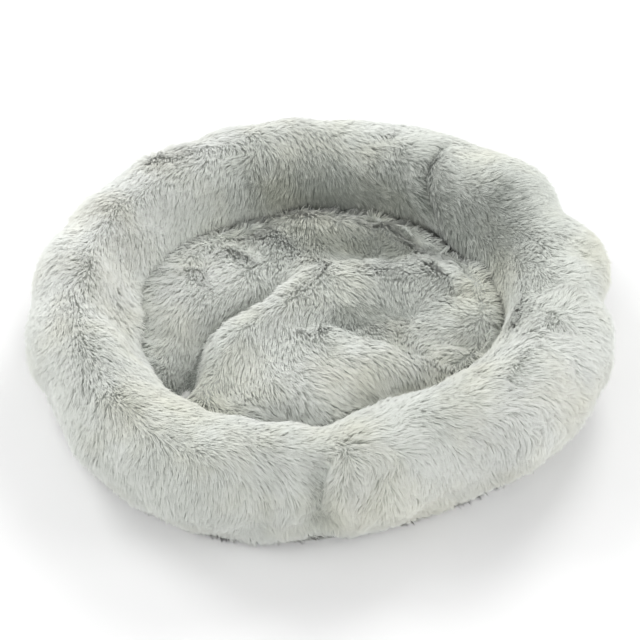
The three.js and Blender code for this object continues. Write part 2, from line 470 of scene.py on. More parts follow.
# Headings are degrees in a plane that looks at the bed from the front and above: 0 is right, 90 up and back.
UP_THE_PLANE = np.array([0, 0.73, 0.68])
DOWN = np.array([0, 0, -1.0])


def headed(degrees):
    a = np.radians(degrees)
    return np.cos(a)[:, None] * np.array([1.0, 0, 0]) + np.sin(a)[:, None] * UP_THE_PLANE


def grown_in_pieces(name, points, normals, comb, length, lean, tone, rng):
    """Pile in pieces of few enough strands, each a stretch of the way round the bed."""
    order = np.argsort((oval(points)[0] - FRONT_SEAM) % FULL_TURN)
    stretches = np.array_split(order, math.ceil(len(order) / MOST_STRANDS))
    for k, part in enumerate(stretches):
        of_part = (values[part] for values in (points, normals, comb, length, lean, tone))
        yield grown(f"{name}_{k + 1:02d}", *of_part, rng)


def grown(name, points, normals, comb, length, lean, tone, rng):
    """Pile: one tapering three-sided strand at each point, drawn together with its neighbours into locks.

    comb is the way that each strand leans, lean the angle from the normal in radians, and length its length.
    """
    count = len(points)
    comb = along_surface(comb, normals)
    way = normals * np.cos(lean)[:, None] + comb * np.sin(lean)[:, None]
    tips = points + way * length[:, None]

    lock_count = max(1, count // STRANDS_IN_A_LOCK)
    leaders = rng.permutation(count)[:lock_count]
    tree = kdtree.KDTree(lock_count)
    for i, place in enumerate(points[leaders]):
        tree.insert(place, i)
    tree.balance()
    lock = np.array([tree.find(place)[1] for place in points])
    leader = leaders[lock]
    stray = rng.normal(0, LOCK_STRAY, (lock_count, 3))[lock]
    gathered = tips[leader] + stray + (points - points[leader]) * LOCK_WIDTH
    pull = rng.uniform(*LOCK_PULLS, (count, 1))
    tips = tips * (1 - pull) + gathered * pull + rng.normal(0, TIP_STRAY, (count, 3))

    roots = points - normals * ROOT_SUNK
    along = tips - roots
    bow = (normals * BOW + rng.normal(0, 0.025, (count, 3))) * length[:, None]
    bends = roots + along * 0.5 + bow
    side = unit(np.cross(along, normals) + 1e-6)
    up = unit(np.cross(side, along))
    radius = STRAND_RADIUS * rng.uniform(0.75, 1.25, (count, 1))

    corners = np.empty((count, CORNERS, 3))
    facing = np.empty((count, CORNERS, 3))
    for k in range(3):
        a = FULL_TURN * k / 3 + math.pi / 2
        out = side * math.cos(a) + up * math.sin(a)
        corners[:, k] = roots + out * radius
        corners[:, 3 + k] = bends + out * radius * TAPER
        facing[:, k] = facing[:, 3 + k] = unit(out * (1 - SOFTNESS) + normals * SOFTNESS)
    corners[:, 6] = tips
    facing[:, 6] = normals
    corners[:, :, 2] = np.maximum(corners[:, :, 2], LEAST_HEIGHT)
    strand = [(0, 1, 2)]
    for k in range(3):
        n = (k + 1) % 3
        strand += [(k, 3 + n, n), (k, 3 + k, 3 + n), (3 + k, 6, 3 + n)]
    faces = (np.array(strand)[None] + CORNERS * np.arange(count)[:, None, None]).reshape(-1, 3)
    piece = mesh_object(name, corners.reshape(-1, 3), faces)
    piece.data.normals_split_custom_set_from_vertices(facing.reshape(-1, 3))

    own = tone + rng.normal(0, 0.05, lock_count)[lock] + rng.normal(0, 0.03, count)
    shade = np.empty((count, CORNERS), np.float32)
    shade[:, :3] = (ROOT_TONE + ROOT_SHARE * own)[:, None]
    shade[:, 3:6] = (BEND_TONE + own)[:, None]
    shade[:, 6] = TIP_TONE + own
    attribute = piece.data.attributes.new("tone", "FLOAT", "POINT")
    attribute.data.foreach_set("value", np.clip(shade, 0, 1).reshape(-1))
    return piece


def swirled(where, seed, ruffled):
    """The disorder of the pile's way: slow swirls everywhere, and quick ones by how ruffled it is."""
    return swirl(where, 60 * MM, seed) * 0.35 + swirl(where, 24 * MM, seed + 4) * ruffled


def uneven_length(where, seed, rng):
    return STRAND_LENGTH * (1 + 0.1 * wander(where, 40 * MM, seed)) * rng.uniform(0.75, 1.15, len(where))


def uneven_lean(where, lean, seed, rng):
    return lean + 0.1 * wander(where, 50 * MM, seed) + rng.normal(0, 0.07, len(where))


def uneven_tone(where, seed):
    return 0.05 * wander(where, 60 * MM, seed) + 0.04 * wander(where, 14 * MM, seed + 2)


def spread_over(piece, count, rng):
    """Points spread evenly over a mesh's area, with their normals."""
    points, triangles, normals = points_of(piece), triangles_of(piece), normals_of(piece)
    a, b, c = (points[triangles[:, k]] for k in range(3))
    area = np.linalg.norm(np.cross(b - a, c - a), axis=1) / 2
    steps = (np.arange(count) + rng.random(count)) / count
    chosen = triangles[np.minimum(np.searchsorted(np.cumsum(area) / area.sum(), steps), len(area) - 1)]
    u, v = rng.random((count, 1)), rng.random((count, 1))
    over = u + v > 1
    u, v = np.where(over, 1 - u, u), np.where(over, 1 - v, v)

    def mixed(values):
        return values[chosen[:, 0]] * (1 - u - v) + values[chosen[:, 1]] * u + values[chosen[:, 2]] * v

    return mixed(points), unit(mixed(normals))


# ------------ the bolster

# Places on the outline that stand out or fall back: turn in degrees, millimetres, spread in degrees.
RIM_SWELLS = [(-2, -8, 6), (13, 10, 6), (27, -5, 5), (41, 12, 9), (58, 5, 8), (97, -9, 11), (113, 6, 7)]
RIM_SWELLS += [(165, -5, 8), (182, 1, 8), (206, -7, 8), (229, -5, 10), (258, -8, 9)]
RIM_SWELLS += [(299, -11, 8), (313, 8, 6), (330, 5, 12)]
RIM_LUMPS = [(2.4, 95, 11), (1.3, 45, 12)]
# A seam's dent in millimetres: depth and width, then the height, place and width of the swelling beside it.
FRONT_DENT = (10, 11, 3, 24, 9)
BACK_DENT = (9, 4.5, 2, 14, 8)
# The back seam leans. Its turn is BACK_SEAM at SLANT_MIDDLE, and grows by SLANT with each SLANT_RISE up.
SLANT = math.radians(9)
SLANT_RISE = 35 * MM
SLANT_MIDDLE = 68 * MM
SEAM_HOLD = math.radians(1.6)  # how far from a seam the cloth is held as it is puffed up
# Where the inner wall's upper part leans inwards or outwards: turn, millimetres outwards, spread in degrees.
WALL_LEANS = [(85, -8, 42), (170, 12, 42)]
LEANING_Z, LEANING_SPREAD = 78 * MM, 18 * MM  # the height where it leans most, and how far that spreads
# Painted light and shade: places where the pile's colour is made lighter or darker for the light that falls
# there, as the shaded back inner wall and the lit left crest: turn in degrees, share of the half width
# outwards, the spread of each, and how much.
RIM_PAINTED_LIGHT = [(88, -0.95, 50, 0.75, -0.7), (25, -0.75, 28, 0.6, -0.4), (162, 0, 40, 1.4, 0.5)]
RIM_PAINTED_LIGHT += [(312, 0.9, 35, 0.6, 0.5), (110, 0.7, 35, 0.5, 0.45), (35, 0.1, 16, 0.6, -0.35)]
# How the pile lies over the top and the inner side: turn and heading in degrees.
RIM_COMBING = [(0, 318), (25, 345), (45, 335), (75, 305), (95, 285), (120, 265), (150, 250), (180, 250)]
RIM_COMBING += [(205, 285), (225, 312), (262, 320), (285, 340), (305, 340), (330, 340)]
# Where the pile on the crest lies along the bolster: turn and spread in degrees.
SIDEWAYS = (108, 34)
# Places where the pile is ruffled into tufts: x, y, radius in millimetres.
RUFFLES = [(190, -85, 50), (150, -130, 45), (215, 40, 40), (75, 150, 35), (-60, 142, 26), (35, -190, 45)]
# Places that the pile leans away from on all sides: x, y, radius in millimetres.
WHORLS = [(198, -42, 24)]


# Where the wall's pile is short and flat, and where pile hides its foot: turn and spread.
SMOOTH_WALL = (12, 22)
JOINS = [(170, 55), (8, 25)]
# Shares of the pile's length.
BESIDE_SHORTER, WALL_SHORTER, DENT_SHORTER, JOIN_LONGER = 0.35, 0.45, 0.45, 0.5
RIM_LEAN = 1.1  # in radians


def combed_rim(points):
    """The way that the bolster's pile leans, and how ruffled it is from 0 to 1."""
    turn, outward, offset = ring_frame(points)
    table = np.array(sorted(RIM_COMBING), float)
    ways = headed(table[:, 1])
    turns = np.radians(table[:, 0])
    top = np.stack([np.interp(turn, turns, ways[:, k], period=FULL_TURN) for k in range(3)], 1)
    outer = outward * 0.5 + DOWN * 0.9
    sideways = near_turn(turn, *SIDEWAYS) * smooth_step(-0.1, 0.5, offset / RIM_HALF_WIDTH)
    top = unit(top) + np.array([0.9, 0, 0]) * sideways[:, None]
    parting = 0.25 + 0.4 * near_turn(turn, 90, 50)
    share = smooth_step(0.0, 0.55, offset / RIM_HALF_WIDTH - parting)[:, None]
    comb = unit(top) * (1 - share) + outer * share
    for x, y, radius in WHORLS:
        away = points - np.array([x * MM, y * MM, RIM_TOP - 15 * MM])
        comb += unit(away) * (0.9 * bump(np.linalg.norm(away, axis=1), radius * MM))[:, None]
    ruffled = np.zeros(len(points))
    for spot in RUFFLES:
        ruffled += near_place(points, *spot)
    return comb, np.clip(ruffled, 0, 1)


def dent(gap, depth, width, swelling, place, spread):
    return depth * bump(gap, width * MM) - swelling * bump(np.abs(gap) - place * MM, spread * MM)


def rim_dents(turn, z, offset):
    """How far the seams draw the bolster in, beyond the CAD's own pinch."""
    round_gap = angle_between(turn, FRONT_SEAM) * MIDDLE_HALF[0]
    outer_front = smooth_step(0.1, 0.5, offset / RIM_HALF_WIDTH) * smooth_step(HEM_Z, HEM_Z + 20 * MM, z)
    seam_turn = BACK_SEAM + SLANT * (z - SLANT_MIDDLE) / SLANT_RISE
    back_gap = angle_between(turn, seam_turn) * MIDDLE_HALF[1]
    inner_back = smooth_step(0.35, -0.1, offset / RIM_HALF_WIDTH)
    return (dent(round_gap, *FRONT_DENT) * outer_front + dent(back_gap, *BACK_DENT) * inner_back) * MM


def rim_skin():
    """The bolster's cover at the root of its pile."""
    skin = one_solid("rim_cover_skin", (*RIM_NODES, "rim_filling"), VOXEL)
    skin = smoothed(skin, 4)
    set_points(skin, points_of(skin) - normals_of(skin) * PILE_ROOT_DEPTH)
    points = points_of(skin)
    turn, _, offset = ring_frame(points)
    front, back = (bump(angle_between(turn, seam), SEAM_HOLD) for seam in (FRONT_SEAM, BACK_SEAM))
    foot = 1 - smooth_step(HEM_Z + 12 * MM, HEM_Z + 22 * MM, points[:, 2])
    beside_cushion = (offset < 0) * (1 - smooth_step(BAND_TOP, BAND_TOP + 12 * MM, points[:, 2]))
    held = np.max([front, back, foot, beside_cushion], axis=0)
    skin = subdivided(puffed(skin, held, pressure=4, cap=5 * MM))

    points, normals = points_of(skin), normals_of(skin)
    turn, outward, offset = ring_frame(points)
    z = points[:, 2]
    free = smooth_step(HEM_Z + 4 * MM, HEM_Z + 35 * MM, z)
    free *= np.where(offset < 0, smooth_step(BAND_TOP, BAND_TOP + 18 * MM, z), 1)
    lumps = lumpy(points, RIM_LUMPS)
    swell = near_turns(turn, RIM_SWELLS) * smooth_step(0.0, 0.7, offset / RIM_HALF_WIDTH)
    points += normals * ((lumps * MM - rim_dents(turn, z, offset)) * free)[:, None]
    points += outward * (swell * MM * free)[:, None]
    upper_inside = bump(z - LEANING_Z, LEANING_SPREAD) * smooth_step(0.3, -0.4, offset / RIM_HALF_WIDTH)
    for at, amount, spread in WALL_LEANS:
        points += outward * (amount * MM * near_turn(turn, at, spread) * upper_inside)[:, None]
    set_points(skin, points)
    return skin


def rim_pile(skin, strands):
    """The bolster's pile. It is shorter beside the cushion, near the floor and in the dents. Its colour is
    paler near the floor, which is painted light, and darker in the dents, which is painted shade, besides the
    painted light and shade of the places listed for the rim.
    """
    rng = np.random.default_rng(5)
    where, normals = spread_over(skin, strands, rng)
    seen = where[:, 2] > HEM_Z + 2 * MM
    where, normals = where[seen], normals[seen]
    turn, outward, offset = ring_frame(where)
    comb, ruffled = combed_rim(where)
    comb = along_surface(comb, normals)
    comb += swirled(where, 22, (0.15 + 0.75 * ruffled)[:, None])
    beside = (offset < 0) * (1 - smooth_step(BAND_TOP - 6 * MM, BAND_TOP + 4 * MM, where[:, 2]))
    foot = (offset < 0) * bump(where[:, 2] - BAND_TOP - 8 * MM, 10 * MM)
    comb += (DOWN - outward * 0.8) * foot[:, None]
    smooth_wall = near_turn(turn, *SMOOTH_WALL) * smooth_step(-0.1, -0.6, offset / RIM_HALF_WIDTH)
    length = uneven_length(where, 23, rng)
    joins = sum(foot * near_turn(turn, *place) for place in JOINS)
    length *= (1 - BESIDE_SHORTER * beside) * (1 - WALL_SHORTER * smooth_wall) * (1 + JOIN_LONGER * joins)
    dents = rim_dents(turn, where[:, 2], offset)
    length *= 1 - DENT_SHORTER * np.clip(dents / (10 * MM), 0, 1)
    length = np.minimum(length, np.maximum(4 * MM, (where[:, 2] - 1.5 * MM) / 0.8))
    lean = uneven_lean(where, RIM_LEAN, 24, rng) - 0.1 * ruffled + 0.1 * smooth_wall
    lean = np.clip(lean + 0.25 * beside - 0.25 * foot, *LEANS)
    tone = uneven_tone(where, 25)
    # Painted light: the outer side's pile is paler near the floor, for the light thrown up from it.
    tone += 0.45 * (1 - smooth_step(8 * MM, 40 * MM, where[:, 2])) * (offset > 0)
    # Painted shade: the pile is darker in the seams' dents.
    tone -= 0.05 * dents / MM
    # Painted light and shade at the places listed for the rim.
    for at, out, round_spread, out_spread, amount in RIM_PAINTED_LIGHT:
        tone += amount * near_turn(turn, at, round_spread) * bump(offset / RIM_HALF_WIDTH - out, out_spread)
    return grown_in_pieces("rim_pile", where, normals, comb, length, lean, tone, rng)


# ------------ the cushion

# The deep fold and the front ridge: lines in plan, in millimetres.
VALLEY = [(-114, -88), (-95, -33), (-69, -11), (-48, 3), (-24, 34), (0, 57)]
VALLEY_DEPTH = 21
VALLEY_LEFT, VALLEY_RIGHT = 22 * MM, 8 * MM  # how far its two sides spread
FRONT_ARC = [(3, -42), (40, -62), (77, -70), (131, -56)]
ARC_HEIGHT = 3.2
CUSHION_LUMPS = [(1.8, 70, 31), (1.0, 33, 32)]
# Low and high places: x, y, radius along x and y, height, in millimetres.
HOLLOWS = [(50, -2, 44, 26, -12), (-118, 35, 26, 45, 8), (95, 60, 40, 25, 3), (-40, 70, 40, 22, 2)]
HOLLOWS += [(125, -10, 22, 30, 3), (38, 70, 78, 26, -15), (20, 30, 22, 18, 3), (30, 122, 110, 18, 4)]
HOLLOWS += [(-108, -72, 24, 24, -8), (145, 20, 20, 50, 4)]
# Where the side band shows over the cushion's edge: turn in degrees, width in millimetres, spread in degrees.
LEDGES = [(117, 16, 10), (50, 15, 20), (83, 8, 18)]
# The fold's mouth, where the pile is short: x, y, radius in millimetres.
PIT = (-104, -70, 30)
# Painted light and shade on the cushion's pile: places made lighter or darker for the light that falls there,
# as the back wall's shadow, the shaded hollows and the pit: x, y, radius along x and y in millimetres, and
# how much.
CUSHION_PAINTED_LIGHT = [(35, 90, 90, 27, -0.85), (80, 15, 50, 35, -0.25), (-62, -30, 30, 30, 0.25)]
CUSHION_PAINTED_LIGHT += [(-25, 5, 30, 30, 0.25), (0, -80, 60, 22, 0.25), (-104, -70, 28, 28, -0.3)]
CUSHION_PAINTED_LIGHT += [(-100, 55, 45, 45, 0.2), (48, -5, 55, 26, -0.5), (18, -15, 22, 20, -0.3)]
CUSHION_PAINTED_LIGHT += [(-70, -20, 25, 25, -0.25), (20, 60, 60, 20, -0.25)]
CUSHION_LEAN = 1.08
EDGE_PULL = 2.2  # of the edge's pile outwards
EDGE_LONGER, PIT_SHORTER = 0.2, 0.6  # shares of the pile's length
# How the pile lies: x, y in millimetres and heading in degrees.
CUSHION_COMBING = [(-110, 40, 262), (-60, 80, 280), (-50, 40, 250), (-75, -55, 235), (-30, -20, 235)]
CUSHION_COMBING += [(0, -75, 318), (40, 0, 300), (60, 60, 262), (110, 40, 235), (120, -30, 232)]
CUSHION_COMBING += [(80, -70, 240), (0, 110, 285), (-60, -100, 320), (60, -100, 330)]


def ledge_width(turn):
    """How far in from the cushion's side the ledge reaches, with a wavy edge."""
    width = near_turns(turn, LEDGES)
    return width * (1 + 0.16 * np.sin(15 * turn + 1) + 0.1 * np.sin(27 * turn)) * MM


def ledge_share(turn):
    """0 at turns with no ledge, 1 where the ledge is wide."""
    return smooth_step(3 * MM, 9 * MM, ledge_width(turn))


def ledge_at(points):
    """1 on the part of the cushion's top that the side band covers, 0 elsewhere."""
    turn, _, _ = oval(points)
    width = ledge_width(turn)
    return smooth_step(1 * MM, -1 * MM, inset_from_edge(points) - width) * (width > 3 * MM)


def cushion_relief(points):
    """How far the puffed top of the cushion is raised, or sunk where it is negative, at each point."""
    plan = points[:, :2]
    across, along = from_line(plan, VALLEY)
    fade = 1 - smooth_step(0.55, 1.0, along)
    valley = -VALLEY_DEPTH * bump(across, np.where(across < 0, VALLEY_LEFT, VALLEY_RIGHT))
    relief = (valley + 9 * bump(across - 20 * MM, 16 * MM)) * fade
    across, along = from_line(plan, FRONT_ARC)
    relief += ARC_HEIGHT * bump(across, 15 * MM) - ARC_HEIGHT * bump(across + 22 * MM, 14 * MM)
    for *spot, height in HOLLOWS:
        relief += height * near_spot(plan, *spot)
    turn, _, _ = oval(points)
    groove = bump(inset_from_edge(points) - ledge_width(turn) - 1 * MM, 4 * MM) * ledge_share(turn)
    relief -= 6 * groove + 3 * ledge_at(points)
    return relief * MM


def cushion_skin():
    """The cushion's cover at the root of its pile."""
    skin = one_solid("cushion_top_skin", ("cushion_top_panel", "cushion_filling"), VOXEL)
    skin = smoothed(skin, 3)
    set_points(skin, points_of(skin) - normals_of(skin) * PILE_ROOT_DEPTH)
    low = 1 - smooth_step(BAND_TOP - 2 * MM, BAND_TOP + 4 * MM, points_of(skin)[:, 2])
    skin = subdivided(puffed(skin, low, pressure=3, cap=6 * MM))
    points = points_of(skin)
    foot = BAND_FOOT + 2 * MM
    upper = np.clip((points[:, 2] - foot) / (BAND_TOP - foot), 0, 1)
    outward = oval(points)[1]
    shoulder = smooth_step(24 * MM, 8 * MM, inset_from_edge(points))
    shoulder *= smooth_step(BAND_TOP - 12 * MM, BAND_TOP, points[:, 2])
    points += outward * (4.5 * MM * shoulder)[:, None]
    lumps = lumpy(points, CUSHION_LUMPS)
    points[:, 2] += (lumps * MM + cushion_relief(points)) * upper
    set_points(skin, points)
    return skin


def combed_cushion(points):
    """The way that the cushion's pile leans, mixed from the places of CUSHION_COMBING near each point."""
    table = np.array(CUSHION_COMBING, float)
    near = bump(np.linalg.norm(points[:, None, :2] - table[None, :, :2] * MM, axis=2), 45 * MM) + 1e-6
    return unit(near @ headed(table[:, 2]))


def cushion_pile(skin, strands):
    """Pile on what shows of the cushion's top. It is combed outwards at the edge, but not beside ledges."""
    rng = np.random.default_rng(6)
    where, normals = spread_over(skin, strands, rng)
    seen = where[:, 2] > BAND_TOP - 7 * MM + np.minimum(cushion_relief(where), 0)
    seen &= (normals[:, 2] > -0.2) & (ledge_at(where) < 0.5)
    where, normals = where[seen], normals[seen]
    inset = inset_from_edge(where)
    turn, outward, _ = oval(where)
    hanging = np.maximum(ledge_share(turn), near_turn(turn, 85, 42))
    pit = near_place(where, *PIT)
    comb = along_surface(combed_cushion(where), normals)
    edge = smooth_step(18 * MM, 6 * MM, inset) * (1 - hanging)
    comb += outward * (EDGE_PULL * edge)[:, None]
    comb += swirled(where, 42, 0.2)
    length = uneven_length(where, 43, rng)
    length *= (1 + EDGE_LONGER * edge) * (1 - PIT_SHORTER * pit)
    lean = np.clip(uneven_lean(where, CUSHION_LEAN, 44, rng), *LEANS)
    tone = uneven_tone(where, 45)
    # Painted shade: the pile is darker along the floor of the deep fold.
    across, along = from_line(where[:, :2], VALLEY)
    tone -= 0.45 * bump(across + 2 * MM, 10 * MM) * (1 - smooth_step(0.5, 0.9, along))
    # Painted light and shade at the places listed for the cushion.
    for *spot, amount in CUSHION_PAINTED_LIGHT:
        tone += amount * near_spot(where, *spot)
    return grown_in_pieces("cushion_pile", where, normals, comb, length, lean, tone, rng)


# ------------ lofted pieces

STEPS_ROUND = 180
ROUND = np.arange(STEPS_ROUND) * FULL_TURN / STEPS_ROUND


def quads_between(rows, columns, closed_rows):
    r, c = np.meshgrid(np.arange(rows if closed_rows else rows - 1), np.arange(columns), indexing="ij")
    down, right = (r + 1) % rows, (c + 1) % columns
    quads = np.stack([r * columns + c, r * columns + right, down * columns + right, down * columns + c], -1)
    return quads.reshape(-1, 4)


def hoop(name, profile):
    """A closed strip all round the bed. profile holds arrays of points, one for each line round it."""
    return mesh_object(name, np.concatenate(profile), quads_between(len(profile), STEPS_ROUND, True))


def disc(name, outline, profile, relief):
    """A sheet or pad across the bed.

    profile runs from the middle of the top to the edge and back underneath, as (share of the way out, inset,
    height), and relief gives the height of its creases at each point.
    """
    rows = []
    for share, inset, z in profile:
        plan = CENTRE + (plan_point(ROUND, outline(ROUND) - inset) - CENTRE) * max(share, 0.01)
        rows.append(np.column_stack([plan, np.full(STEPS_ROUND, z)]))
    points = np.concatenate(rows)
    points[:, 2] += relief(points)
    quads = quads_between(len(rows), STEPS_ROUND, False)
    middle = np.array([points[:STEPS_ROUND].mean(0), points[-STEPS_ROUND:].mean(0)])
    first, last = len(points), len(points) + 1
    k = np.arange(STEPS_ROUND)
    n = (k + 1) % STEPS_ROUND
    under = (len(rows) - 1) * STEPS_ROUND
    caps = np.concatenate([
        np.stack([np.full_like(k, first), n, k], -1),
        np.stack([np.full_like(k, last), under + k, under + n], -1),
    ])
    split = np.concatenate([quads[:, [0, 1, 2]], quads[:, [0, 2, 3]], caps])
    return mesh_object(name, np.concatenate([points, middle]), split)


# ------------ the cushion's side band

BAND_THICKNESS = 2.4 * MM
BAND_REACH = 8 * MM  # how far it rolls in over the cushion's edge
LEDGE_ROLL = 5.5 * MM  # how far it stands up in the ledges
BAND_PILE, BAND_TOP_PILE = 5.5, 4.5  # its pile's length in millimetres, and how much longer it is on top
BAND_LEAN = 0.85
BAND_TONE, BAND_MOTTLE = -0.3, 0.18


def height_on(skin, plan):
    """The height of a skin's top at points in plan."""
    tree = tree_of(skin)
    hits = [tree.ray_cast(Vector((x, y, 1)), Vector((0, 0, -1)))[0] for x, y in plan]
    return np.array([BAND_TOP if hit is None else hit.z for hit in hits])


def ripple(height, times, start=0):
    """Small waves round the bed, from their height in millimetres and their number."""
    return height * MM * np.sin(ROUND * times + start)


def cushion_band(skin):
    """The side strip. It stands round the cushion, rolls over its edge, and shows there in the ledges."""
    pucker = ripple(0.7, 47) + ripple(0.5, 29, 1)
    # The section up its side: inset in millimetres, height.
    side = [(1.4, BAND_FOOT + 0.6 * MM), (0.4, BAND_FOOT + 5 * MM), (0.2, (BAND_FOOT + BAND_TOP) / 2)]
    side += [(0.8, BAND_TOP - 3 * MM), (3.0, BAND_TOP + 1.5 * MM)]
    shoulder = height_on(skin, plan_point(ROUND, edge_out(ROUND) - BAND_REACH))
    sag = np.clip(BAND_TOP + 1 * MM - shoulder, 0, 0.85 * (BAND_TOP - BAND_FOOT))
    outer, inner = [], []
    for inset, z in side:
        edge = edge_out(ROUND) - inset * MM + pucker
        height = z - sag * (z - BAND_FOOT) / (BAND_TOP - BAND_FOOT)
        outer.append(np.column_stack([plan_point(ROUND, edge), height]))
        inner.append(np.column_stack([plan_point(ROUND, edge - BAND_THICKNESS), height]))
    reach = np.maximum(ledge_width(ROUND), BAND_REACH + 1 * MM)
    for share in (0.0, 0.3, 0.6, 1.0):
        inset = BAND_REACH + (reach - BAND_REACH) * share
        plan = plan_point(ROUND, edge_out(ROUND) - inset)
        z = height_on(skin, plan) + ripple(0.5, 31, 2 * share)
        roll = LEDGE_ROLL * ledge_share(ROUND) * math.sqrt(1 - share**4)
        outer.append(np.column_stack([plan, z + BAND_THICKNESS * 0.8 + roll]))
        inner.append(np.column_stack([plan, z]))
    return hoop("cushion_band", outer + inner[::-1])


def band_pile(band, strands):
    """The side band's pile, which is shorter, and tufty where the band rolls over."""
    rng = np.random.default_rng(7)
    where, normals = spread_over(band, strands, rng)
    _, outward, _ = oval(where)
    shown = ((normals * outward).sum(1) > 0.2) | (normals[:, 2] > 0.15)
    where, normals, outward = where[shown], normals[shown], outward[shown]
    on_top = smooth_step(0.3, 0.8, normals[:, 2])
    comb = DOWN * 0.4 + outward * (0.3 + 0.5 * on_top)[:, None] + np.array([0.8, 0, 0])
    comb += swirl(where, 20 * MM, 52)
    length = (BAND_PILE + BAND_TOP_PILE * on_top) * MM * rng.uniform(0.75, 1.2, len(where))
    lean = np.clip(BAND_LEAN + rng.normal(0, 0.15, len(where)), 0.4, 1.3)
    tone = BAND_TONE + BAND_MOTTLE * wander(where, 12 * MM, 53)
    return grown_in_pieces("cushion_band_pile", where, normals, comb, length, lean, tone, rng)


# ------------ stuffing, stitches and base


def stuffing(name, skin, depth):
    """The wadding inside a skin: the skin's own shape, a little smaller and lumpier."""
    points, normals = points_of(skin), normals_of(skin)
    points -= normals * (depth + 0.5 * MM * wander(points, 18 * MM, 61))[:, None]
    return mesh_object(name, points, triangles_of(skin))


STITCH = 3.6 * MM  # length of one stitch
STITCH_PITCH = 4.8 * MM
STITCH_RADIUS = 0.45 * MM


def stitches(name, path, closed):
    """A row of short thread stitches along a path of points."""
    if closed:
        path = np.concatenate([path, path[:1]])
    run = np.concatenate([[0], np.cumsum(np.linalg.norm(np.diff(path, axis=0), axis=1))])
    count = int(run[-1] // STITCH_PITCH)
    starts = (np.arange(count) + 0.5) * run[-1] / count
    # Places along a stitch from its middle, and its thickness there, both as shares.
    stations = [(-0.5, 0.0), (-0.42, 0.8), (-0.15, 1.0), (0.15, 1.0), (0.42, 0.8), (0.5, 0.0)]

    def at(places):
        return np.stack([np.interp(places, run, path[:, k]) for k in range(3)], -1)

    sides = 6
    rings = []
    way = unit(at(starts + 0.3 * STITCH) - at(starts - 0.3 * STITCH))
    flat = unit(np.cross(way, np.array([0.31, 0.17, 0.93])))
    stand = np.cross(flat, way)
    for place, thick in stations:
        middle = at(starts + place * STITCH)
        for k in range(sides):
            a = FULL_TURN * k / sides
            out = flat * math.cos(a) + stand * math.sin(a)
            rings.append(middle + out * STITCH_RADIUS * max(thick, 0.15))
    corners = np.stack(rings, 1)
    one = quads_between(len(stations), sides, False)
    last = (len(stations) - 1) * sides
    caps = [[0, 3, 2, 1], [0, 5, 4, 3]]
    caps += [[last + k for k in (0, 1, 2, 3)], [last + k for k in (0, 3, 4, 5)]]
    one = np.concatenate([one[:, ::-1], np.array(caps)])
    faces = (one[None] + corners.shape[1] * np.arange(count)[:, None, None]).reshape(-1, 4)
    return mesh_object(name, corners.reshape(-1, 3), faces)


def laid_on(path, piece):
    """A path moved onto the nearest places of a piece."""
    tree = tree_of(piece)
    found = [tree.find_nearest(Vector(p)) for p in path]
    return np.array([place + normal * 0.3 * MM for place, normal, _, _ in found])


def seam_path(node, skin):
    """The way of a seam over the bolster, from its CAD thread, laid on the skin."""
    points = points_of(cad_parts[node])
    _, _, offset = ring_frame(points)
    slope = np.arctan2(points[:, 2] - RIM_MIDDLE_Z, offset)
    slope = np.where(slope < -math.pi / 2, slope + FULL_TURN, slope)
    order = np.argsort(slope)
    path = np.array([points[group].mean(0) for group in np.array_split(order, len(order) // 4)])
    steps = np.linspace(0, len(path) - 1, 90)
    return laid_on(np.stack([np.interp(steps, np.arange(len(path)), path[:, k]) for k in range(3)], -1), skin)


def ring_path(node):
    """The way of a seam round the bed, from its CAD thread."""
    points = points_of(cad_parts[node])
    turn, _, out = oval(points)
    low, high = points[:, 2].min(), points[:, 2].max()
    middle = outline_of(node)(ROUND) - (high - low) / 2
    return np.column_stack([plan_point(ROUND, middle), np.full(STEPS_ROUND, (low + high) / 2)])


# Shares of the way out from the middle, for the rings of a flat piece.
FLAT_SHARES = [0.0, 0.2, 0.4, 0.6, 0.75, 0.88]


def flat_profile(low, high, fold, tuck):
    """A sheet's section from the middle of its top round its edge and back. tuck is the edge's inset."""
    top = [(share, tuck, high) for share in FLAT_SHARES]
    top += [(1, tuck + 3 * fold, high), (1, tuck + fold, high), (1, tuck + 0.3 * fold, high - 0.3 * fold)]
    under = [(share, inset, low + high - z) for share, inset, z in reversed(top)]
    return top + under


def cloth_disc(name, node, creases, tuck=0.0):
    """A flat panel of woven cloth, with soft creases."""
    low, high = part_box(node)[0][2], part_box(node)[1][2]

    def relief(points):
        return creases * wander(points[:, :2] @ np.eye(2, 3), 60 * MM, 71)

    return disc(name, outline_of(node), flat_profile(low, high, (high - low) / 2, tuck), relief)


